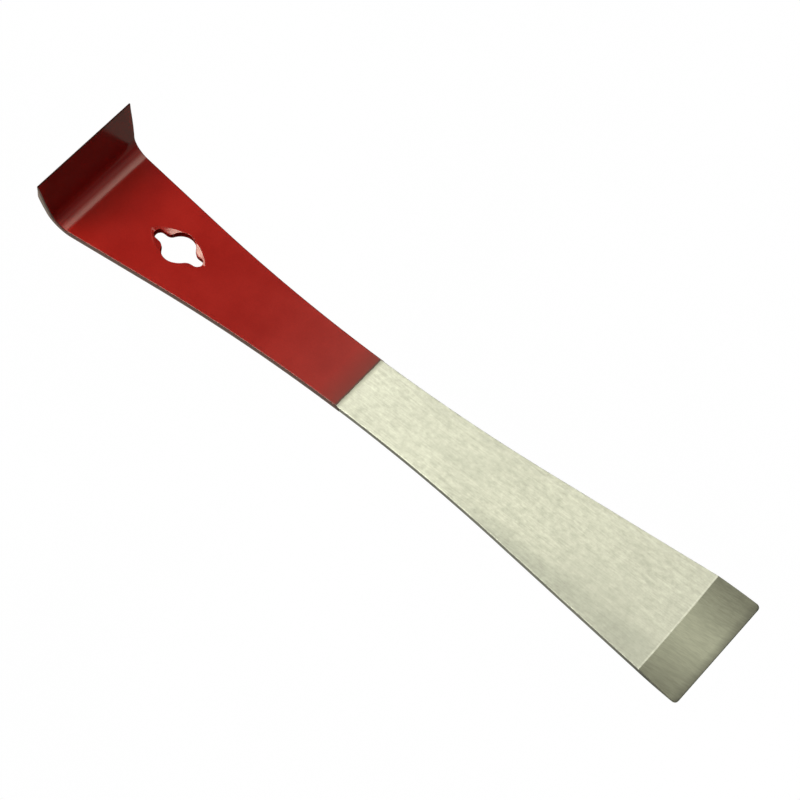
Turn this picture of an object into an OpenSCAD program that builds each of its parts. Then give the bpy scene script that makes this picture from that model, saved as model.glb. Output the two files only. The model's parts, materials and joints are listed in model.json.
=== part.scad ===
// Hive tool: one flat steel bar, waisted in the middle, ground to a chisel blade at one end and
// bent up into a scraping hook at the other. The hook half carries a coat of powder paint.
// The frame's origin is under the middle of the tool: +X runs to the blade, +Z is the hook's way.

/* [Bar] */
// Overall length, from the hook's painted back to the blade's edge
total_l = 265; // [250:1:280]
// Thickness of the steel
steel_t = 2.5; // [2:0.1:3]
// Width at the narrowest point
waist_w = 21.8; // [20.2:0.2:24]
// Distance from the hook's back to the narrowest point
waist_x = 122; // [118:1:130]
// Radius of the hollow sides
waist_r = 725; // [650:25:775]

/* [Blade] */
// Width of the blade's edge, before its corners are rounded
blade_w = 42; // [40:0.5:45]
// Length of the ground bevel
blade_bevel_l = 14.7; // [10:0.1:20]
// Thickness left at the blade's edge
blade_edge_t = 0.4; // [0.2:0.1:0.8]
// Radius of the blade's two corners
blade_corner_r = 1.4; // [1:0.1:4]

/* [Hook] */
// Overall height, from the painted underside to the hook's painted edge
hook_h = 26.4; // [24:0.1:32]
// Inside radius of the bend
bend_r = 6; // [4:0.5:8]
// Width where the bar meets the bend
heel_w = 37.9; // [36.5:0.1:38]
// Width where the bend meets the hook
root_w = 39.9; // [39.6:0.1:40.2]
// Width of the hook's edge
hook_w = 42.8; // [42:0.1:43.5]
// Length of the bevel on the hook's back
hook_bevel_l = 8; // [5:0.5:10]
// Thickness left at the hook's edge
hook_edge_t = 0.2; // [0.1:0.1:0.8]

/* [Hanging and nail hole] */
// Diameter of the round middle
hole_d = 12; // [11:0.5:14]
// Distance from the hook's back to the hole's centre
hole_x = 41; // [36:0.2:50]
// Width of the two nail slots
slot_w = 3.8; // [3:0.1:4]
// Length over both slots
slot_l = 21.4; // [20:0.2:26]
// Length of the countersink over the slots
sink_l = 24.6; // [23:0.2:28]
// Steepness of the countersink, in degrees
sink_angle = 24; // [15:1:25]

/* [Paint] */
// Painted length, from the hook's back
paint_l = 121; // [100:1:140]
// Thickness of the paint
paint_t = 0.1; // [0.06:0.02:0.2]

/* [Hidden] */
$fn = 96;
waist_fn = 720;

// A length that clears the bar's sides and the hook's edge
reach = 60;
// Height of the bar's bare top; the hook's bare inner face stands as far from its painted back
top_z = paint_t + steel_t;
// The bend's centre, as far from the hook's back as from the underside
bend_c = top_z + bend_r;
// Height of the hook's bare edge
hook_top = hook_h - paint_t;
// How much each side of the hook spreads per millimetre of height
hook_spread = (hook_w - root_w) / 2 / (hook_top - bend_c);
// Steel ground away at the blade's edge and at the hook's edge
blade_drop = steel_t - blade_edge_t;
hook_drop = steel_t - hook_edge_t;
// The countersink lies between two arcs of this radius, which cross the round middle
sink_w = hole_d - 1;
sink_r = (sink_l * sink_l + sink_w * sink_w) / (4 * sink_w);

// Angle of the straight flare that leaves the waist's arc and reaches a half-width `rise` wider
// than the waist at a distance `run` from it.
function flare_angle(run, rise, r) =
    atan2(run, r - rise) - acos(r / norm([run, r - rise]));

module both_sides() {
    children();
    mirror([0, 1, 0]) children();
}

module both_ends() {
    children();
    mirror([1, 0, 0]) children();
}

// What is cut from one corner of the blade to round it. `half_w` is half of the edge's width, and
// `angle` is the flare of the side there.
module blade_corner(half_w, angle) {
    centre = [total_l - blade_corner_r, half_w - blade_corner_r * (tan(angle) + 1 / cos(angle))];
    touch = centre + blade_corner_r * [-sin(angle), cos(angle)];
    difference() {
        polygon([centre, [total_l, centre.y], [total_l, half_w], touch]);
        translate(centre) circle(r = blade_corner_r);
    }
}

// Plan of the bar from the bend to the blade's edge, `grow` larger all round.
module bar_plan(grow) {
    r = waist_r - grow;
    half_waist = waist_w / 2 + grow;
    half_heel = heel_w / 2 + grow;
    half_blade = blade_w / 2 + grow;
    heel_angle = flare_angle(waist_x - bend_c, half_heel - half_waist, r);
    blade_angle = flare_angle(total_l - waist_x, half_blade - half_waist, r);
    x1 = waist_x - r * sin(heel_angle);
    y1 = half_waist + r * (1 - cos(heel_angle));
    x2 = waist_x + r * sin(blade_angle);
    y2 = half_waist + r * (1 - cos(blade_angle));
    difference() {
        polygon([
            [bend_c, half_heel], [x1, y1], [x2, y2], [total_l, half_blade],
            [total_l, -half_blade], [x2, -y2], [x1, -y1], [bend_c, -half_heel]
        ]);
        both_sides() translate([waist_x, half_waist + r]) circle(r = r, $fn = waist_fn);
        both_sides() blade_corner(half_blade, blade_angle);
    }
}

// The flat bar, with the blade's bevel ground off its top.
module bar(grow) {
    difference() {
        translate([0, 0, paint_t - grow]) linear_extrude(steel_t + 2 * grow) bar_plan(grow);
        translate([0, reach, 0]) rotate([90, 0, 0]) linear_extrude(2 * reach) polygon([
            [total_l - blade_bevel_l, top_z + grow],
            [total_l, top_z - blade_drop + grow],
            [total_l + reach, top_z - blade_drop + grow],
            [total_l + reach, reach],
            [total_l - blade_bevel_l, reach]
        ]);
    }
}

// The quarter bend. Its sides taper from the bar's width to the hook's.
module bend(grow) {
    half_heel = heel_w / 2 + grow;
    half_root = root_w / 2 + grow;
    half_under = half_root - hook_spread * bend_c;
    intersection() {
        translate([bend_c, reach, bend_c]) rotate([90, 0, 0]) linear_extrude(2 * reach) difference() {
            circle(r = bend_r + steel_t + grow);
            circle(r = bend_r - grow);
        }
        linear_extrude(bend_c) polygon([
            [bend_c, half_heel], [top_z, half_root], [-reach, half_root],
            [-reach, -half_root], [top_z, -half_root], [bend_c, -half_heel]
        ]);
        rotate([90, 0, 90]) linear_extrude(bend_c) polygon([
            [half_root, bend_c], [-half_root, bend_c], [-half_under, 0], [half_under, 0]
        ]);
    }
}

// The hook above the bend, with the bevel ground off its back.
module hook(grow) {
    half_root = root_w / 2 + grow;
    half_edge = hook_w / 2 + grow;
    tip_z = hook_top + grow;
    slant = norm([hook_bevel_l, hook_drop]);
    bevel_z = hook_top - hook_bevel_l + grow * (slant - hook_bevel_l) / hook_drop;
    edge_x = paint_t + hook_drop - grow * (slant - hook_drop) / hook_bevel_l;
    difference() {
        translate([paint_t - grow, 0, 0]) rotate([90, 0, 90]) linear_extrude(steel_t + 2 * grow) polygon([
            [half_root, bend_c], [half_edge, tip_z], [-half_edge, tip_z], [-half_root, bend_c]
        ]);
        translate([0, reach, 0]) rotate([90, 0, 0]) linear_extrude(2 * reach) polygon([
            [paint_t - grow, bevel_z], [edge_x, tip_z], [edge_x, tip_z + reach], [-reach, tip_z + reach],
            [-reach, bevel_z]
        ]);
    }
}

// The opening: a round hole with a nail slot on each side, along the bar.
module hole(grow) {
    slot_r = slot_w / 2 - grow;
    slot_end = (slot_l - slot_w) / 2;
    translate([hole_x, 0, -1]) {
        cylinder(r = hole_d / 2 - grow, h = top_z + 2);
        translate([-slot_end, -slot_r, 0]) cube([2 * slot_end, 2 * slot_r, top_z + 2]);
        both_ends() translate([slot_end, 0, 0]) cylinder(r = slot_r, h = top_z + 2);
    }
}

// A shallow pointed countersink in the bar's top: two wide cones that cross over the slots.
module sink(grow) {
    over = 1;
    paint_inset = grow / sin(sink_angle);
    low_r = sink_r - top_z / tan(sink_angle) - paint_inset;
    high_r = sink_r + over / tan(sink_angle) - paint_inset;
    intersection_for (side = [-1, 1])
        translate([hole_x, side * (sink_r - sink_w / 2), 0])
            cylinder(r1 = low_r, r2 = high_r, h = top_z + over);
}

// The whole bar, `grow` larger all round: 0 for the bare steel, paint_t for the painted bar.
module blank(grow) {
    difference() {
        union() {
            bar(grow);
            bend(grow);
            hook(grow);
        }
        hole(grow);
        sink(grow);
    }
}

// The modules above measure x from the hook's painted back; the frame's origin is half-way along.
module to_frame() {
    translate([-total_l / 2, 0, 0]) children();
}

module steel_bar() {
    color("gainsboro") to_frame() blank(0);
}

module red_coating() {
    color("firebrick") to_frame() difference() {
        intersection() {
            blank(paint_t);
            translate([-1, -reach, -1]) cube([paint_l + 1, 2 * reach, reach]);
        }
        blank(0);
    }
}

steel_bar();
red_coating();
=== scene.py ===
"""Looks of the hive tool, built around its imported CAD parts: the steel bar and its red paint."""

import json
import math

import bmesh
import bpy
import numpy as np
from mathutils import Matrix, Vector


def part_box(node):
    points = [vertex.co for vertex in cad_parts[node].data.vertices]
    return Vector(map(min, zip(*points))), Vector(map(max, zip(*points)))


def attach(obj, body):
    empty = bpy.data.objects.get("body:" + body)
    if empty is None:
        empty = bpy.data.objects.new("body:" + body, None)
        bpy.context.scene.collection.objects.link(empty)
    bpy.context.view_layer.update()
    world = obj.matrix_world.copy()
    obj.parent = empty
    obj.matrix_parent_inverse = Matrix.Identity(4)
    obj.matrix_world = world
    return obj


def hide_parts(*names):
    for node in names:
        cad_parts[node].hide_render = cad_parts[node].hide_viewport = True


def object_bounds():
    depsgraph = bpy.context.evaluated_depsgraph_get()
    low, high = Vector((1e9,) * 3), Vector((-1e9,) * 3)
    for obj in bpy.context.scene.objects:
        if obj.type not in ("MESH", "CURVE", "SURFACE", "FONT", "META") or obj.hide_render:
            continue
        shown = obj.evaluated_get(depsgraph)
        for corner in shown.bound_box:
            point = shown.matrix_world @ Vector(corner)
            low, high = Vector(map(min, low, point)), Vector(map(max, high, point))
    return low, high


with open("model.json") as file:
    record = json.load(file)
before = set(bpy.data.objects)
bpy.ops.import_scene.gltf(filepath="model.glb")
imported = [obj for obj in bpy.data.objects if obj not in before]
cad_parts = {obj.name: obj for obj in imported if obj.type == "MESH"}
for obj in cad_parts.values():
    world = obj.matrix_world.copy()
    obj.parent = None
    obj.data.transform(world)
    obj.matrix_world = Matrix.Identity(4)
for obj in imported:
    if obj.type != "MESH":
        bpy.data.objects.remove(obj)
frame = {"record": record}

cad_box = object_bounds()

# Shapes are worked out in millimetres from the hook's painted back, and MM turns them to metres.
MM = 0.001
steel_low, steel_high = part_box("steel_bar")
paint_low, paint_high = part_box("red_coating")
hole_mount = next(m for m in frame["record"]["mounts"] if m["name"] == "hang_hole")

BACK = paint_low.x
TOTAL_L = (steel_high.x - BACK) / MM
PAINT_T = (steel_low.x - BACK) / MM
PAINT_L = (paint_high.x - BACK) / MM
HOOK_TOP = steel_high.z / MM
HOLE_X = (hole_mount["pos_m"][0] - BACK) / MM
HOLE_R = hole_mount["dims"]["r_mm"] + PAINT_T

# The bar and its bend
STEEL_T = 2.5
WAIST_W = 21.8
WAIST_X = 122.0
WAIST_R = 725.0
BEND_R = 6.0
TOP_Z = PAINT_T + STEEL_T
BEND_C = TOP_Z + BEND_R
HEEL_W = 37.9
ROOT_W = 39.9
HOOK_W = 42.8
HOOK_CORNER_R = 0.35
HOOK_BULGE = 0.25
HOOK_EDGE_T = 0.2
HOOK_EDGE_R = 0.5
HOOK_BEVEL_L = 8.0
# The blade
BLADE_W = 42.0
BLADE_BEVEL_L = 14.7
BLADE_CORNER_R = 1.4
RELIEF = 0.45
RELIEF_L = 15.0
EDGE_T = 0.4
# The bevel's line runs back towards +Y, up to BEVEL_BACK at y = BEVEL_BACK_END
BEVEL_BACK = 0.7
BEVEL_BACK_END = 17.0
BEVEL_BACK_POWER = 2.5
# Degrees between the bevel's scratches and the bar's
GRIND_TURN = 8.0
# The hole
SLOT_HALF = 1.9
SLOT_END = 8.8
NECK_R = 2.6
SINK_HALF_L = 12.3
SINK_HALF_W = HOLE_R - 0.5
SINK_R = (SINK_HALF_L**2 + SINK_HALF_W**2) / (2 * SINK_HALF_W)
SINK_ANGLE = 24.0
SINK_SLOPE = math.tan(math.radians(SINK_ANGLE))
# The countersink's outline moves in by this share of the paint's thickness
SINK_INSET = math.tan(math.radians(SINK_ANGLE / 2))
# Millimetres between the opening's edge and the outline where the opening reaches past it
SINK_BORDER = 0.15
# Rounded edges
EDGE_R = 0.22
RIM_R = 0.13
TIP_CHAMFER = 0.1
# The paint's edge
OVERSPRAY = 1.3
FEATHER = 0.35

# Colours, as linear red, green, blue and opacity
STEEL_DARK, STEEL_LIGHT = (0.42, 0.425, 0.395, 1), (0.665, 0.68, 0.635, 1)
STEEL_CLOUD = (0.42, 0.43, 0.40, 1)
STEEL_SMUDGE = (0.20, 0.19, 0.165, 1)
# Painted highlight along the line where the blade's bevel begins
STEEL_CREASE_HIGHLIGHT = (0.72, 0.73, 0.69, 1)
WALL_DARK, WALL_LIGHT = (0.24, 0.245, 0.235, 1), (0.36, 0.365, 0.355, 1)
BEVEL_DARK, BEVEL_LIGHT = (0.212, 0.214, 0.178, 1), (0.283, 0.288, 0.238, 1)
CROWN_DARK, CROWN_LIGHT = (0.415, 0.426, 0.355, 1), (0.535, 0.55, 0.46, 1)
BEVEL_TIP = (0.14, 0.14, 0.12, 1)
PAINT_DARK, PAINT_LIGHT = (0.31, 0.008, 0.005, 1), (0.38, 0.011, 0.007, 1)
# Painted shade on the sides and rounded long edges, with their thinner paint
PAINT_EDGE_SHADE = (0.06, 0.008, 0.006, 1)
PAINT_END = (0.17, 0.016, 0.011, 1)
PAINT_LINE = (0.045, 0.008, 0.006, 1)
# Painted shade along the hook's top edge, with its thinner paint
PAINT_HOOK_TOP_SHADE = (0.045, 0.010, 0.007, 1)
# Painted shade: what the steel's colour is multiplied by towards the blade and along its -Y side
SHADE_TO_BLADE = (0.87, 0.87, 0.86, 1)
SHADE_ON_MINUS_Y = (0.70, 0.71, 0.71, 1)
# Where that begins and is complete, and where both ease off again, in millimetres
SHADE_TO_BLADE_X = (120.0, 185.0)
SHADE_ON_MINUS_Y_X = (140.0, 195.0)
SHADE_ON_MINUS_Y_Y = (-13.5, -8.0)
SHADE_EASE_X = (195.0, 250.0)
# Millimetres from the bevel's middle over which it fades from its crown colours
CROWN_FADE = (2.0, 19.0)
# How many fine and coarse scratches follow one another along a metre
BAR_SCRATCHES = (200, 60)
BEVEL_SCRATCHES = (60, 20)

# The studio, in metres
FLOOR_HALF = 3.0
FLOOR_GAP = 0.0002
# How bright the floor looks, and how bright it is in the tool's mirror: open, beside the tool's lit
# -Y side, in its shade on the +Y side, and close under it
FLOOR_WHITE = 1.0
GLEAM_OPEN = 1.0
GLEAM_LIT = 0.42
GLEAM_SHADE = 0.3
GLEAM_BELOW = 0.9
# The shade's edge bows out by the square of the distance from the waist over this, in millimetres
SHADE_BOW = 1700.0
# What the room gives to matt and to glossy surfaces
ROOM_LIGHT = 0.03
ROOM_GLEAM = 0.12
WARM = (1.0, 0.985, 0.80)

# The camera: lens in millimetres, place in metres and degrees
CAMERA_LENS = 113.16
CAMERA_SENSOR = 36.0
CAMERA_TARGET = (0.0028, 0.0036, 0.0027)
CAMERA_DISTANCE = 0.7935
CAMERA_AZIMUTH = 47.13
CAMERA_ELEVATION = 60.54
CAMERA_ROLL = -6.46

# How finely the mesh is cut, from the hook's edge to the blade's edge
HOOK_BEVEL_STEPS = 4
HOOK_STEPS = 6
BEND_STEPS = 20
BEFORE_HOLE = 6
HOLE_ALONG = 36
AFTER_HOLE = 14
LINE_STEPS = 5
BARE_STEPS = 32
BEFORE_BEVEL = 8
BEVEL_STEPS = 7
ACROSS = 24
ROUND_STEPS = 4
WALL_STEPS = 3
# Millimetres: the patch round the hole, the rows beside a crease, and the first even row of the hook
HOLE_REACH = 20.0
CREASE = 0.18
HOOK_FIRST = 1.6
# Pieces of the slot's round end, of its straight side and of the neck, in a quarter of the opening
SLOT_ARC, SLOT_SIDE, NECK_ARC = 6, 4, 6
# Where rows lie: out to the countersink's outline, on to the patch's border, and on the feather
SINK_SHARES = (0.0, 0.25, 0.5, 0.75, 0.93)
FLAT_SHARES = (0.0, 0.03, 0.1, 0.22, 0.38, 0.56, 0.77)
FEATHER_SHARES = (1.0, 0.6, 0.3, 0.12)


def flare_angle(run, rise):
    """Angle of the straight side that leaves the waist's arc and gains `rise` over `run`."""
    return math.atan2(run, WAIST_R - rise) - math.acos(WAIST_R / math.hypot(run, WAIST_R - rise))


HEEL_FLARE = flare_angle(WAIST_X - BEND_C, (HEEL_W - WAIST_W) / 2)
BLADE_FLARE = flare_angle(TOTAL_L - WAIST_X, (BLADE_W - WAIST_W) / 2)


def rounded_corner(half, along, end, radius):
    """Half-width `half` at `along`, pulled in so that the corner at `end` has a radius."""
    into = max(0.0, along - (end - radius))
    return half - radius + math.sqrt(max(radius * radius - into * into, 0.0))


def bar_half(x):
    """Half-width of the bare bar: an arc at the waist, straight flares, and eased blade corners."""
    away = abs(x - WAIST_X)
    flare = HEEL_FLARE if x < WAIST_X else BLADE_FLARE
    arc_end = WAIST_R * math.sin(flare)
    if away < arc_end:
        half = WAIST_W / 2 + WAIST_R - math.sqrt(WAIST_R**2 - away**2)
    else:
        half = WAIST_W / 2 + WAIST_R * (1 - math.cos(flare)) + (away - arc_end) * math.tan(flare)
    relief = RELIEF * (max(0.0, x - (TOTAL_L - RELIEF_L)) / RELIEF_L) ** 2
    return rounded_corner(half - relief, x, TOTAL_L, BLADE_CORNER_R)


def hook_half(z):
    """Half-width of the bare hook, which spreads towards its edge."""
    share = (z - BEND_C) / (HOOK_TOP - BEND_C)
    half = ROOT_W / 2 + (HOOK_W - ROOT_W) / 2 * share + 4 * HOOK_BULGE * share * (1 - share)
    return rounded_corner(half, z, HOOK_TOP, HOOK_CORNER_R)


def hook_back(z):
    """How far the bare back of the hook lies from the painted back's plane."""
    ground = max(0.0, z - (HOOK_TOP - HOOK_BEVEL_L)) / HOOK_BEVEL_L
    return PAINT_T + ground * (STEEL_T - HOOK_EDGE_T)


def wander(y, slow, fast, shift):
    """A small wave across the bar, for lines that were not drawn with a ruler."""
    return 0.06 * math.sin(y * slow) + 0.04 * math.sin(y * fast + shift)


def bevel_start(y):
    """Where the blade's bevel begins. The grind runs further back towards the +Y side."""
    across = (y + BLADE_W / 2) / (BEVEL_BACK_END + BLADE_W / 2)
    back = BEVEL_BACK * min(max(across, 0.0), 1.0) ** BEVEL_BACK_POWER
    return TOTAL_L - BLADE_BEVEL_L + wander(y, 0.31, 0.9, 1) - back


def bar_top(x, y):
    """Height of the bare top of the bar, with the blade's bevel ground off."""
    start = bevel_start(y)
    ground = max(0.0, x - start) / (TOTAL_L - start)
    return TOP_Z - ground * (STEEL_T - EDGE_T)


class Station:
    """One cross-section of the bar: where its two faces and its sides are, `grow` outside the steel."""

    def __init__(self, kind, at, grow, inset=0.0):
        self.kind, self.at, self.grow, self.inset = kind, at, grow, inset
        halves = {"hook": hook_half, "bar": bar_half, "bend": self.bend_half}
        self.half = halves[kind](at) + grow - inset

    @staticmethod
    def bend_half(angle):
        return HEEL_W / 2 + (ROOT_W - HEEL_W) / 2 * angle / (math.pi / 2)

    def along(self, y, side):
        """Distance along the bar for a point at `y`; `side` is 1 half-way down a side wall."""
        x = self.at
        bevel = TOTAL_L - BLADE_BEVEL_L
        if x > bevel - BLADE_BEVEL_L:
            share = 1 - abs(x - bevel) / BLADE_BEVEL_L
            x += (bevel_start(y) - bevel) * max(share, 0.0)
        to_line = abs(x - PAINT_L) / (4 * OVERSPRAY)
        if to_line < 1:
            x += (wander(y, 1.1, 2.7, 2) + OVERSPRAY * side) * (1 - to_line)
        return x

    def inner(self, y, down=0.0, side=0.0):
        """A point on the top of the bar, or `down` below it."""
        if self.kind == "hook":
            return (TOP_Z + self.grow - down - self.inset, y, self.at + self.tip_lift())
        if self.kind == "bend":
            r = BEND_R - self.grow + down
            return (BEND_C - r * math.sin(self.at), y, BEND_C - r * math.cos(self.at))
        x = self.along(y, side)
        return (x, y, bar_top(x, y) + self.grow - down - self.inset)

    def outer(self, y, up=0.0, side=0.0):
        """A point on the underside of the bar, or `up` above it."""
        if self.kind == "hook":
            return (hook_back(self.at) - self.grow + up + self.inset, y, self.at + self.tip_lift())
        if self.kind == "bend":
            r = BEND_R + STEEL_T + self.grow - up
            return (BEND_C - r * math.sin(self.at), y, BEND_C - r * math.cos(self.at))
        x = self.along(y, side)
        return (x, y, PAINT_T - self.grow + up + self.inset)

    def tip_lift(self):
        """Paint also covers the hook's thin edge."""
        ground = max(0.0, self.at - (HOOK_TOP - HOOK_BEVEL_L)) / HOOK_BEVEL_L
        return self.grow * ground

    def edge_r(self):
        """The bend and the hook have rounder edges than the bar."""
        if self.kind == "bar":
            return EDGE_R
        share = self.at / (math.pi / 2) if self.kind == "bend" else 1.0
        return EDGE_R + (HOOK_EDGE_R - EDGE_R) * share

    def lines(self):
        """The section as four lines of points: top, underside, +Y side and -Y side."""
        thick = math.dist(self.inner(self.half), self.outer(self.half))
        r = min(self.edge_r() + self.grow, 0.42 * thick)
        flat = self.half - r
        ys = np.linspace(-flat, flat, ACROSS + 1)
        sides = []
        for sign in (1, -1):
            turns = [math.pi / 2 * k / ROUND_STEPS for k in range(1, ROUND_STEPS + 1)]
            rounds = [(sign * (flat + r * math.sin(t)), r * (1 - math.cos(t)), math.sin(t))
                      for t in turns]
            upper = [self.inner(*place) for place in rounds]
            lower = [self.outer(*place) for place in rounds[::-1]]
            wall = np.linspace(upper[-1], lower[0], WALL_STEPS + 1)[1:-1]
            sides.append(upper + [tuple(p) for p in wall] + lower)
        return [self.inner(y) for y in ys], [self.outer(y) for y in ys], sides[0], sides[1]


def steps(start, end, count):
    """`count` even steps from start, without the end."""
    return [start + (end - start) * k / count for k in range(count)]


def corner_steps(end, radius, degrees):
    """Places that round a corner of this radius well, from its start towards `end`."""
    return [end - radius * (1 - math.sin(math.radians(d))) for d in degrees]


def stations(grow):
    """Cross-sections from the hook's edge to the blade's edge."""
    hook_bevel = HOOK_TOP - HOOK_BEVEL_L
    hook = [(HOOK_TOP, TIP_CHAMFER), (HOOK_TOP - TIP_CHAMFER, 0.0)]
    hook += [(z, 0.0) for z in corner_steps(HOOK_TOP, HOOK_CORNER_R, (45, 30, 15, 0))]
    hook += [(z, 0.0) for z in steps(HOOK_TOP - HOOK_FIRST, hook_bevel + CREASE, HOOK_BEVEL_STEPS)]
    hook += [(hook_bevel + CREASE, 0.0), (hook_bevel, 0.0)]
    hook += [(z, 0.0) for z in steps(hook_bevel - CREASE, BEND_C, HOOK_STEPS)]
    out = [Station("hook", z, grow, inset) for z, inset in hook]
    out += [Station("bend", a, grow) for a in steps(math.pi / 2, 0.0, BEND_STEPS)]
    patch = (HOLE_X - HOLE_REACH, HOLE_X + HOLE_REACH)
    before_line = PAINT_L - 4 * OVERSPRAY
    bevel = TOTAL_L - BLADE_BEVEL_L
    bar = steps(BEND_C, patch[0], BEFORE_HOLE) + steps(*patch, HOLE_ALONG)
    bar += steps(patch[1], before_line, AFTER_HOLE)
    bar += steps(before_line, PAINT_L - FEATHER, LINE_STEPS)
    bar += [PAINT_L - FEATHER * share for share in FEATHER_SHARES]
    bar += steps(PAINT_L, bevel - BLADE_BEVEL_L, BARE_STEPS)
    bar += steps(bevel - BLADE_BEVEL_L, bevel - CREASE, BEFORE_BEVEL)
    bar += [bevel - CREASE, bevel] + steps(bevel + CREASE, TOTAL_L - BLADE_CORNER_R, BEVEL_STEPS)
    bar += corner_steps(TOTAL_L, BLADE_CORNER_R, (0, 10, 20, 30, 40, 50, 60)) + [TOTAL_L - TIP_CHAMFER]
    out += [Station("bar", x, grow) for x in bar]
    return out + [Station("bar", TOTAL_L, grow, TIP_CHAMFER)]


def hole_quadrant(grow, out):
    """A quarter of the opening, from a slot's end to the round middle's top, `out` into the metal."""
    slot, middle, neck = SLOT_HALF - grow, HOLE_R - grow, NECK_R + grow
    neck_angle = math.asin((slot + neck) / (middle + neck))
    neck_x = (middle + neck) * math.cos(neck_angle)
    places = []
    for k in range(SLOT_ARC):
        a = math.pi / 2 * k / SLOT_ARC
        places.append((SLOT_END + (slot + out) * math.cos(a), (slot + out) * math.sin(a)))
    for k in range(SLOT_SIDE):
        places.append((SLOT_END + (neck_x - SLOT_END) * k / SLOT_SIDE, slot + out))
    for k in range(NECK_ARC):
        a = -math.pi / 2 - (math.pi / 2 - neck_angle) * k / NECK_ARC
        places.append((neck_x + (neck - out) * math.cos(a), slot + neck + (neck - out) * math.sin(a)))
    count = (ACROSS + HOLE_ALONG) // 2 - SLOT_ARC - SLOT_SIDE - NECK_ARC
    for k in range(count + 1):
        a = neck_angle + (math.pi / 2 - neck_angle) * k / count
        places.append(((middle + out) * math.cos(a), (middle + out) * math.sin(a)))
    return np.array(places)


def full_loop(quadrant):
    """The whole loop of a quadrant, mirrored about both middle lines."""
    forward, back = quadrant[:-1], quadrant[:0:-1]
    return np.vstack([forward, back * [-1, 1], forward * [-1, -1], back * [1, -1]])


def sink_margin(places):
    """How far inside the countersink's pointed outline each place lies."""
    off = SINK_R - SINK_HALF_W
    to_low = np.hypot(places[:, 0], places[:, 1] + off)
    to_high = np.hypot(places[:, 0], places[:, 1] - off)
    return SINK_R - np.maximum(to_low, to_high)


def sink_outline(grow, edge):
    """The countersink's outline, straight outside each place of the opening's edge."""
    radius = SINK_R - grow * SINK_INSET
    off = SINK_R - SINK_HALF_W
    away = np.hypot(*edge.T)
    toward = edge / away[:, None]
    reach = np.sqrt(radius**2 - (off * toward[:, 0]) ** 2) - off * np.abs(toward[:, 1])
    return toward * np.maximum(reach, away + SINK_BORDER)[:, None]


def sunk_height(grow, places):
    """Height of the bar's top at these places, countersink included."""
    deep = np.maximum(sink_margin(places) - grow * SINK_INSET, 0)
    return TOP_Z + grow - SINK_SLOPE * deep


def at_height(places, heights):
    """Places around the hole, as points of the bar."""
    heights = np.broadcast_to(heights, len(places))
    return [(x + HOLE_X, y, z) for (x, y), z in zip(places, heights)]


def hole_rows(grow, outer_top, outer_low):
    """Loops that run from the bar's top, down through the opening and out over its underside."""
    edge = full_loop(hole_quadrant(grow, RIM_R))
    sink = sink_outline(grow, edge)
    outer = np.array(outer_top)[:, :2] - [HOLE_X, 0]
    low_z = PAINT_T - grow
    plan = [edge + (sink - edge) * share for share in SINK_SHARES]
    flat = [sink + (outer - sink) * share for share in FLAT_SHARES]
    top = [outer_top] + [at_height(p, TOP_Z + grow) for p in flat[::-1]]
    top += [at_height(p, sunk_height(grow, p)) for p in plan[::-1]]
    low = [at_height(p, low_z) for p in plan + flat] + [outer_low]
    rim_z = sunk_height(grow, edge)
    turns = [math.pi / 2 * k / ROUND_STEPS for k in range(ROUND_STEPS)]
    rounds = [(full_loop(hole_quadrant(grow, RIM_R * (1 - math.cos(t)))), RIM_R * (1 - math.sin(t)))
              for t in turns]
    top += [at_height(places, rim_z - drop) for places, drop in rounds[::-1]]
    low = [at_height(places, low_z + drop) for places, drop in rounds] + low
    wall = np.linspace(top[-1], low[0], WALL_STEPS + 1)[1:-1]
    return top + [[tuple(p) for p in row] for row in wall] + low


class Skin:
    """A closed surface, collected as faces whose corners join where they meet."""

    def __init__(self):
        self.points, self.known, self.faces = [], {}, []

    def corner(self, place):
        key = tuple(round(float(c), 4) for c in place)
        if key not in self.known:
            self.known[key] = len(self.points)
            self.points.append(place)
        return self.known[key]

    def face(self, places):
        corners = [self.corner(p) for p in places]
        kept = [c for i, c in enumerate(corners) if c != corners[i - 1]]
        if len(kept) > 2:
            self.faces.append(kept)

    def sheet(self, rows, closed=False):
        """Four-sided faces between rows of equal length."""
        for a, b in zip(rows, rows[1:]):
            for i in range(len(a) if closed else len(a) - 1):
                j = (i + 1) % len(a)
                self.face([a[i], a[j], b[j], b[i]])

    def cap(self, lines):
        """Closes one end of the bar."""
        top, low, plus, minus = lines
        self.sheet([top, low])
        self.face([top[-1], *plus, low[-1]])
        self.face([top[0], *minus, low[0]])

    def bar(self, sections, grow):
        """The skin of the bar through these sections, with the opening through it."""
        lines = [s.lines() for s in sections]
        tops, lows, plus, minus = zip(*lines)
        first = next(i for i, s in enumerate(sections) if s.kind == "bar") + BEFORE_HOLE
        last = first + HOLE_ALONG
        for rows in (tops, lows):
            self.sheet(rows[: first + 1])
            self.sheet(rows[last:])
        self.sheet([[t[-1], *p, l[-1]] for t, p, l in zip(tops, plus, lows)])
        self.sheet([[t[0], *m, l[0]] for t, m, l in zip(tops, minus, lows)])
        around = [hole_border(rows, first, last) for rows in (tops, lows)]
        self.sheet(hole_rows(grow, *around), closed=True)
        self.cap(lines[0])

    def mesh(self, name):
        """The finished mesh, in metres in the tool's frame."""
        mesh = bpy.data.meshes.new(name)
        points = [(x * MM + BACK, y * MM, z * MM) for x, y, z in self.points]
        mesh.from_pydata(points, [], self.faces)
        work = bmesh.new()
        work.from_mesh(mesh)
        bmesh.ops.recalc_face_normals(work, faces=work.faces)
        open_edges = [e for e in work.edges if len(e.link_faces) != 2]
        if open_edges:
            raise ValueError(f"{name} has {len(open_edges)} open edges")
        work.to_mesh(mesh)
        work.free()
        mesh.shade_smooth()
        return mesh


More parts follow.
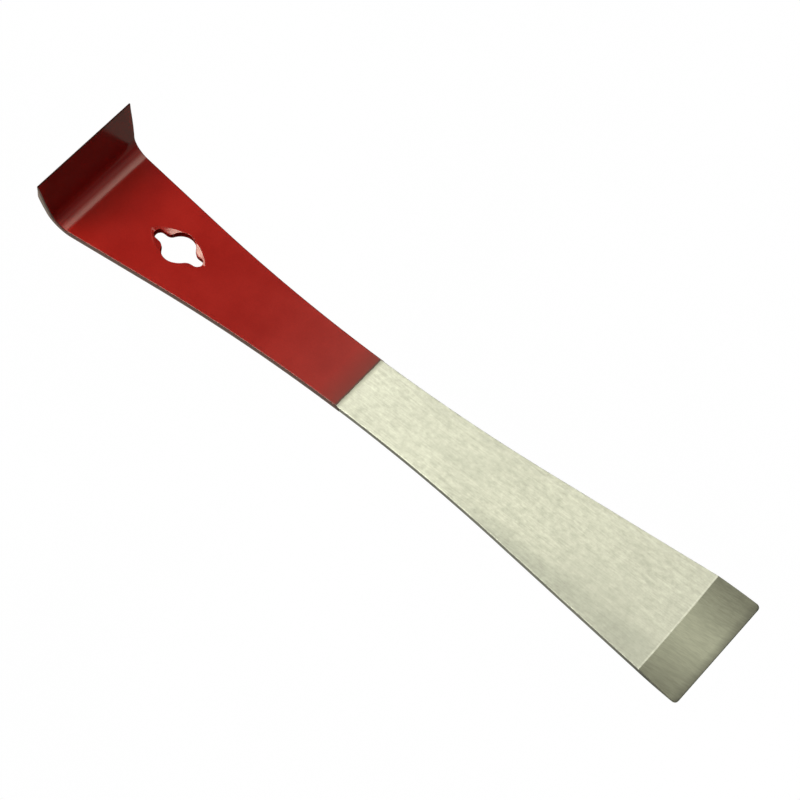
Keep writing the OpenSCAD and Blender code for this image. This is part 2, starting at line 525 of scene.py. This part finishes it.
def hole_border(rows, first, last):
    """The border of the patch around the hole, from the middle of its blade end, by +Y."""
    middle = ACROSS // 2
    border = list(rows[last][middle:])
    border += [rows[i][-1] for i in range(last - 1, first, -1)]
    border += list(rows[first][::-1])
    border += [rows[i][0] for i in range(first + 1, last)]
    return border + list(rows[last][:middle])


def piece(name, mesh, slot, material):
    """A piece of the tool that stands for its CAD node."""
    mesh.materials.append(material)
    thing = bpy.data.objects.new(name, mesh)
    bpy.context.scene.collection.objects.link(thing)
    normals = thing.modifiers.new("even_normals", "WEIGHTED_NORMAL")
    normals.keep_sharp = True
    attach(thing, "root")
    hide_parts(slot_nodes[slot])
    return thing


def steel_mesh():
    skin = Skin()
    sections = stations(0.0)
    skin.bar(sections, 0.0)
    skin.cap(sections[-1].lines())
    return skin.mesh("bar_of_steel")


def paint_mesh():
    """The paint: an outer skin and the steel's own surface, which meet at the feathered line."""
    skin = Skin()
    outside = []
    for section in stations(PAINT_T):
        left = (PAINT_L - section.at) / FEATHER
        if section.kind == "bar" and left < 1:
            grow = PAINT_T * math.sin(math.pi / 2 * max(left, 0.0)) ** 0.7
            section = Station("bar", section.at, grow)
        outside.append(section)
        if section.kind == "bar" and left <= 0:
            break
    skin.bar(outside, PAINT_T)
    skin.bar(stations(0.0)[: len(outside)], 0.0)
    return skin.mesh("coat_of_paint")


class Shader:
    """Short names for building a node material."""

    def __init__(self, name):
        self.material = bpy.data.materials.new(name)
        self.material.use_nodes = True
        self.tree = self.material.node_tree
        self.surface = self.tree.nodes["Principled BSDF"]
        self.place = self.node("ShaderNodeTexCoord").outputs["Object"]

    def node(self, kind, inputs=None, **settings):
        node = self.tree.nodes.new(kind)
        for key, value in settings.items():
            setattr(node, key, value)
        for key, value in (inputs or {}).items():
            self.feed(node.inputs[key], value)
        return node

    def feed(self, socket, value):
        if isinstance(value, bpy.types.NodeSocket):
            self.tree.links.new(value, socket)
        else:
            socket.default_value = value

    def math(self, operation, a, b=0.0):
        return self.node("ShaderNodeMath", {0: a, 1: b}, operation=operation).outputs[0]

    def millimetres(self):
        """Where a point lies along the bar, from the hook's painted back, across it and above it."""
        place = self.node("ShaderNodeSeparateXYZ", {0: self.place}).outputs
        along = self.math("DIVIDE", self.math("SUBTRACT", place["X"], BACK), MM)
        return along, self.math("DIVIDE", place["Y"], MM), self.math("DIVIDE", place["Z"], MM)

    def normal(self):
        """The surface's normal, as three numbers."""
        geometry = self.node("ShaderNodeNewGeometry").outputs
        return self.node("ShaderNodeSeparateXYZ", {0: geometry["Normal"]}).outputs

    def away(self, value, centre=0.0):
        """How far a number is from a centre."""
        return self.math("ABSOLUTE", self.math("SUBTRACT", value, centre))

    def noise(self, per_metre, detail=3.0, roughness=0.55, shift=0.0, turn=0.0):
        """Noise from 0 to 1 with its own number of cells per metre along X, Y and Z."""
        turned = self.node("ShaderNodeVectorRotate", {"Vector": self.place, "Angle": math.radians(-turn)},
                           rotation_type="Z_AXIS").outputs[0]
        place = self.node("ShaderNodeMapping", {"Vector": turned, "Location": (shift,) * 3,
                                                "Scale": per_metre}).outputs[0]
        inputs = {"Vector": place, "Scale": 1.0, "Detail": detail, "Roughness": roughness}
        return self.node("ShaderNodeTexNoise", inputs).outputs["Fac"]

    def mixed(self, share, a, b):
        """Two numbers mixed by shares."""
        kept = self.math("MULTIPLY", a, self.math("SUBTRACT", 1.0, share))
        return self.math("ADD", kept, self.math("MULTIPLY", b, share))

    def scratches(self, per_metre, shift=0.0, turn=0.0):
        """Scratches along X or turned from it towards +Y; `per_metre` counts the fine and the coarse."""
        fine = self.noise((per_metre[0], 2300, 2300), 4.0, 0.65, shift, turn)
        coarse = self.noise((per_metre[1], 900, 900), 3.0, 0.6, shift + 3.1, turn)
        return self.mixed(0.4, fine, coarse)

    def spread(self, value, low, high, to_low=0.0, to_high=1.0):
        """A number that goes from `to_low` to `to_high` while `value` goes from `low` to `high`."""
        inputs = {"Value": value, "From Min": low, "From Max": high, "To Min": to_low, "To Max": to_high}
        return self.node("ShaderNodeMapRange", inputs, clamp=True).outputs["Result"]

    def blend(self, share, a, b, how="MIX"):
        """Colour `a` turned to `b`, or multiplied by it, by shares."""
        node = self.node("ShaderNodeMix", {"Factor": share}, data_type="RGBA", blend_type=how)
        colours = [i for i in node.inputs if i.type == "RGBA"]
        self.feed(colours[0], a)
        self.feed(colours[1], b)
        return next(o for o in node.outputs if o.type == "RGBA")

    def bump(self, height, depth, strength):
        """A normal for bumps whose height runs from 0 to `depth` metres."""
        inputs = {"Height": height, "Distance": depth, "Strength": strength}
        return self.node("ShaderNodeBump", inputs).outputs[0]


def past_bevel_line(s, x, y):
    """Millimetres past the line where the blade's bevel begins."""
    across = s.spread(y, -BLADE_W / 2, BEVEL_BACK_END)
    back = s.math("MULTIPLY", s.math("POWER", across, BEVEL_BACK_POWER), BEVEL_BACK)
    return s.math("ADD", s.math("SUBTRACT", x, TOTAL_L - BLADE_BEVEL_L), back)


def flat_steel(s, x, y, grain, mottle, cloud, crease_highlight):
    """Belt-ground top, with painted shade towards the blade and along -Y, dark at the paint, and a
    painted highlight along the bevel's line.
    """
    flat = s.blend(s.spread(grain, 0.38, 0.62), STEEL_DARK, STEEL_LIGHT)
    flat = s.blend(s.spread(cloud, 0.42, 0.7, 0.0, 0.4), flat, STEEL_CLOUD)
    # Painted shade towards the blade and along -Y, easing off again near the blade's edge
    eased = s.spread(x, *SHADE_EASE_X, 1.0, 0.5)
    blade_shade = s.math("MULTIPLY", s.spread(x, *SHADE_TO_BLADE_X), eased)
    flat = s.blend(blade_shade, flat, SHADE_TO_BLADE, "MULTIPLY")
    side_shade = s.math("MULTIPLY", s.spread(y, *SHADE_ON_MINUS_Y_Y, 0.8, 0.0), s.spread(x, *SHADE_ON_MINUS_Y_X))
    flat = s.blend(s.math("MULTIPLY", side_shade, eased), flat, SHADE_ON_MINUS_Y, "MULTIPLY")
    from_paint = s.math("ADD", s.math("SUBTRACT", x, PAINT_L), s.math("MULTIPLY", mottle, -2.5))
    flat = s.blend(s.spread(from_paint, -1.4, 0.2, 0.85, 0.0), flat, STEEL_SMUDGE)
    # Painted highlight along the bevel's line, broken up by the grain
    crease_highlight = s.math("MULTIPLY", crease_highlight, s.spread(grain, 0.35, 0.65, 0.2, 0.7))
    return s.blend(crease_highlight, flat, STEEL_CREASE_HIGHLIGHT)


def ground_bevel(s, x, y, streaks, cloud):
    """The blade's bevel: darker than the top, brightest along its middle, and dark at its edge."""
    middle_shift = s.math("MULTIPLY", s.math("SUBTRACT", cloud, 0.35), 9.0)
    off_middle = s.math("ABSOLUTE", s.math("ADD", y, middle_shift))
    crown = s.spread(off_middle, *CROWN_FADE, 1.0, 0.0)
    outer = s.blend(s.spread(streaks, 0.40, 0.60), BEVEL_DARK, BEVEL_LIGHT)
    middle = s.blend(s.spread(streaks, 0.40, 0.60), CROWN_DARK, CROWN_LIGHT)
    bevel = s.blend(crown, outer, middle)
    return s.blend(s.spread(x, TOTAL_L - 2.8, TOTAL_L - 0.2, 0.0, 0.6), bevel, BEVEL_TIP)


def brushed_steel():
    """Steel belt-ground along the bar, with a darker and slightly turned grind on the bevel."""
    s = Shader("brushed_steel")
    x, y, _ = s.millimetres()
    normal = s.normal()
    on_side = s.spread(s.away(normal["Z"]), 0.35, 0.8, 1.0, 0.0)
    faces_up = s.spread(normal["Z"], 0.0, 0.1)
    past_line = past_bevel_line(s, x, y)
    on_bevel = s.math("MULTIPLY", s.spread(past_line, -0.05, 0.1), faces_up)
    # Painted highlight along the line where the bevel begins
    crease_highlight = s.math("MULTIPLY", s.spread(s.away(past_line, -0.3), 0.1, 0.4, 1.0, 0.0), faces_up)

    bevel_streaks = s.scratches(BEVEL_SCRATCHES, 1.7, GRIND_TURN)
    streaks = s.mixed(on_bevel, s.scratches(BAR_SCRATCHES), bevel_streaks)
    mottle = s.noise((520, 700, 700), 4.0, 0.65, 7.7)
    cloud = s.noise((22, 60, 60), 2.0, 0.5, 11.3)
    grain = s.mixed(0.45, streaks, mottle)
    flat = flat_steel(s, x, y, grain, mottle, cloud, crease_highlight)
    top = s.blend(on_bevel, flat, ground_bevel(s, x, y, streaks, cloud))
    side = s.blend(s.spread(grain, 0.4, 0.6), WALL_DARK, WALL_LIGHT)
    s.feed(s.surface.inputs["Base Color"], s.blend(on_side, top, side))
    s.feed(s.surface.inputs["Metallic"], 1.0)
    s.feed(s.surface.inputs["Roughness"], s.spread(grain, 0.3, 0.7, 0.36, 0.48))
    s.feed(s.surface.inputs["Anisotropic"], 0.85)
    s.feed(s.surface.inputs["Tangent"], s.node("ShaderNodeCombineXYZ", {"Y": 1.0}).outputs[0])
    s.feed(s.surface.inputs["Normal"], s.bump(streaks, 0.00002, 0.5))
    return s.material


def red_paint():
    """Glossy powder coat with faint orange peel, darker towards its end. Its sides and the hook's top
    edge are darker too: thinner paint there, with painted shade."""
    s = Shader("red_paint")
    x, y, z = s.millimetres()
    peel = s.noise((700, 700, 700), 2.0, 0.5)
    cloud = s.noise((60, 60, 60), 3.0, 0.6, 5.2)
    speck = s.noise((2600, 2600, 2600), 2.0, 0.5, 9.4)
    colour = s.blend(s.spread(s.mixed(0.4, cloud, speck), 0.38, 0.62), PAINT_DARK, PAINT_LIGHT)

    # Painted shade, with the thinner paint there, on the sides and rounded long edges, kept off the
    # countersink
    edge_shade = s.spread(s.away(s.normal()["Y"]), 0.1, 0.5, 0.0, 0.65)
    outside_hole = s.spread(s.away(y), 8.0, 9.0)
    colour = s.blend(s.math("MULTIPLY", edge_shade, outside_hole), colour, PAINT_EDGE_SHADE)
    near_end = s.math("ADD", s.math("SUBTRACT", x, PAINT_L), s.math("MULTIPLY", cloud, 6.0))
    colour = s.blend(s.spread(near_end, -6.0, 3.0, 0.0, 0.75), colour, PAINT_END)
    colour = s.blend(s.spread(x, PAINT_L - 0.8, PAINT_L - 0.2, 0.0, 0.85), colour, PAINT_LINE)
    # Painted shade, with thinner paint, along the hook's top edge: darker and less glossy
    height = s.math("ADD", z, s.math("MULTIPLY", cloud, 0.4))
    hook_top_shade = s.spread(height, HOOK_TOP - 0.15, HOOK_TOP + 0.1)
    s.feed(s.surface.inputs["Base Color"], s.blend(hook_top_shade, colour, PAINT_HOOK_TOP_SHADE))
    s.feed(s.surface.inputs["Roughness"], s.spread(cloud, 0.3, 0.7, 0.15, 0.21))
    s.feed(s.surface.inputs["Specular IOR Level"], s.spread(hook_top_shade, 0.0, 1.0, 0.45, 0.1))
    s.feed(s.surface.inputs["Normal"], s.bump(peel, 0.00003, 0.10))
    return s.material


def pale_floor():
    """White from above and clear from below; the tool's shade on it shows only in the tool's mirror."""
    s = Shader("pale_floor")
    path = s.node("ShaderNodeLightPath").outputs
    from_below = s.node("ShaderNodeNewGeometry").outputs["Backfacing"]
    tone = s.spread(s.noise((9, 9, 9)), 0.3, 0.7, FLOOR_WHITE - 0.005, FLOOR_WHITE)
    x, y, _ = s.millimetres()
    off_waist = s.math("SUBTRACT", x, WAIST_X)
    bow = s.math("DIVIDE", s.math("MULTIPLY", off_waist, off_waist), SHADE_BOW)
    half = s.math("MINIMUM", s.math("ADD", bow, WAIST_W / 2), BLADE_W / 2)
    lit = s.math("SUBTRACT", s.math("MULTIPLY", y, -1.0), half)
    shaded = s.math("SUBTRACT", y, half)
    beside = s.spread(lit, -1.0, 0.0, 0.0, GLEAM_LIT)
    opening = s.spread(lit, 0.0, 10.0, 0.0, GLEAM_OPEN - GLEAM_LIT)
    behind = s.spread(shaded, -1.0, 0.0, 0.0, GLEAM_SHADE)
    gleam = s.math("ADD", s.math("ADD", beside, behind), opening)
    below = s.spread(path["Ray Length"], 3 * FLOOR_GAP, 4 * FLOOR_GAP, GLEAM_BELOW, 0.0)
    gleam = s.math("MAXIMUM", gleam, below)
    glow = s.spread(path["Is Camera Ray"], 0.0, 1.0, gleam, tone)
    tint = s.blend(path["Is Camera Ray"], (*WARM, 1), (1, 1, 1, 1))
    white = s.node("ShaderNodeEmission", {"Color": tint, "Strength": glow}).outputs[0]
    clear = s.node("ShaderNodeBsdfTransparent").outputs[0]
    shown = s.node("ShaderNodeMixShader", {0: from_below, 1: white, 2: clear}).outputs[0]
    s.feed(s.tree.nodes["Material Output"].inputs["Surface"], shown)
    return s.material


def look_along(thing, place, target, roll=0.0):
    """Puts a camera or a lamp at a place, facing a target."""
    back = (Vector(place) - Vector(target)).normalized()
    turn = back.to_track_quat("Z", "Y").to_matrix() @ Matrix.Rotation(roll, 3, "Z")
    thing.matrix_world = Matrix.Translation(place) @ turn.to_4x4()


def direction(azimuth, elevation):
    """Unit vector from the object; azimuth 0 is -Y and 90 is +X."""
    a, e = math.radians(azimuth), math.radians(elevation)
    return Vector((math.sin(a) * math.cos(e), -math.cos(a) * math.cos(e), math.sin(e)))


def softbox(name, centre, size, radiance, diffuse=True, glossy=True):
    """A rectangle of light at `centre` that faces the tool, seen by matt or glossy surfaces or both."""
    lamp = bpy.data.lights.new(name, "AREA")
    lamp.shape = "RECTANGLE"
    lamp.size, lamp.size_y = size
    lamp.energy = radiance * math.pi * size[0] * size[1]
    lamp.color = WARM
    box = bpy.data.objects.new(name, lamp)
    bpy.context.scene.collection.objects.link(box)
    look_along(box, centre, (0, 0, 0))
    box.visible_diffuse = diffuse
    box.visible_glossy = glossy
    return box


def fade_along_x(box, rise, fall):
    """Lets a softbox brighten between two places along X, and fade between two more."""
    lamp = box.data
    lamp.use_nodes = True
    nodes, links = lamp.node_tree.nodes, lamp.node_tree.links
    place = nodes.new("ShaderNodeSeparateXYZ")
    links.new(nodes.new("ShaderNodeNewGeometry").outputs["Position"], place.inputs[0])
    both = nodes.new("ShaderNodeMath")
    both.operation = "MULTIPLY"
    for socket, (start, end), (low, high) in zip(both.inputs, (rise, fall), ((0, 1), (1, 0))):
        ramp = nodes.new("ShaderNodeMapRange")
        ramp.interpolation_type = "SMOOTHSTEP"
        for key, value in (("From Min", start), ("From Max", end), ("To Min", low), ("To Max", high)):
            ramp.inputs[key].default_value = value
        links.new(place.outputs["X"], ramp.inputs["Value"])
        links.new(ramp.outputs["Result"], socket)
    links.new(both.outputs[0], nodes["Emission"].inputs["Strength"])


def surroundings():
    """A backdrop that looks white and lights the tool only a little."""
    world = bpy.data.worlds.new("studio")
    bpy.context.scene.world = world
    world.use_nodes = True
    tree = world.node_tree
    path = tree.nodes.new("ShaderNodeLightPath")
    diffuse = tree.nodes.new("ShaderNodeMix")
    diffuse.inputs["A"].default_value = ROOM_GLEAM
    diffuse.inputs["B"].default_value = ROOM_LIGHT
    shown = tree.nodes.new("ShaderNodeMix")
    shown.inputs["B"].default_value = FLOOR_WHITE
    tree.links.new(path.outputs["Is Diffuse Ray"], diffuse.inputs["Factor"])
    tree.links.new(path.outputs["Is Camera Ray"], shown.inputs["Factor"])
    tree.links.new(diffuse.outputs["Result"], shown.inputs["A"])
    tree.links.new(shown.outputs["Result"], tree.nodes["Background"].inputs["Strength"])
    tree.nodes["Background"].inputs["Color"].default_value = (1, 1, 1, 1)


def floor():
    """The plain floor just under the tool. Glossy surfaces mirror it; it gives matt ones no light."""
    mesh = bpy.data.meshes.new("floor")
    corners = [(-FLOOR_HALF, -FLOOR_HALF, 0), (FLOOR_HALF, -FLOOR_HALF, 0),
               (FLOOR_HALF, FLOOR_HALF, 0), (-FLOOR_HALF, FLOOR_HALF, 0)]
    mesh.from_pydata(corners, [], [(0, 1, 2, 3)])
    mesh.materials.append(pale_floor())
    sheet = bpy.data.objects.new("floor", mesh)
    sheet.location.z = cad_box[0].z - FLOOR_GAP
    bpy.context.scene.collection.objects.link(sheet)
    sheet.visible_diffuse = False
    sheet.visible_shadow = False


def lamps():
    """Softboxes: some light only matt surfaces, and the others show only in glossy ones."""
    softbox("key", (-0.46, -0.47, 0.90), (0.5, 0.5), 9.5, diffuse=False)
    softbox("key_side", (-0.40, -0.22, 0.46), (0.36, 0.36), 7.5, glossy=False)
    softbox("key_fill", (-0.06, 0.30, 1.00), (0.5, 0.5), 5.2, glossy=False)
    ceiling = softbox("ceiling", (0.015, 0.40, 1.00), (1.27, 0.6), 2.6, diffuse=False)
    fade_along_x(ceiling, (-0.56, -0.28), (-0.25, 0.90))
    wall = softbox("wall", (1.00, 0.38, 0.62), (0.9, 0.9), 0.5, diffuse=False)
    fade_along_x(wall, (-2.0, -1.0), (0.75, 1.25))
    softbox("rim", (-0.85, -0.10, 0.48), (0.3, 0.3), 7.0, diffuse=False)
    softbox("glint", (-0.83, -0.35, 0.73), (0.26, 0.26), 12.0, diffuse=False)
    softbox("front", (0.62, -0.62, 0.42), (0.9, 0.9), 0.8, diffuse=False)
    softbox("fill_below", (0.0, 0.0, -0.9), (0.2, 0.2), 30.0, glossy=False)


def camera():
    """A long lens that looks down at the tool from its -Y side and the blade's end."""
    lens = bpy.data.cameras.new("camera")
    lens.lens = CAMERA_LENS
    lens.sensor_width = CAMERA_SENSOR
    thing = bpy.data.objects.new("camera", lens)
    bpy.context.scene.collection.objects.link(thing)
    target = Vector(CAMERA_TARGET)
    place = target + direction(CAMERA_AZIMUTH, CAMERA_ELEVATION) * CAMERA_DISTANCE
    look_along(thing, place, target, math.radians(CAMERA_ROLL))
    bpy.context.scene.camera = thing


slot_nodes = {row["material_slot"]: row["node"] for row in frame["record"]["subparts"]}
piece("hive_tool_bar", steel_mesh(), "brushed_steel", brushed_steel())
piece("hive_tool_paint", paint_mesh(), "red_paint", red_paint())
floor()
surroundings()
lamps()
camera()
bpy.context.scene.view_settings.view_transform = "Standard"
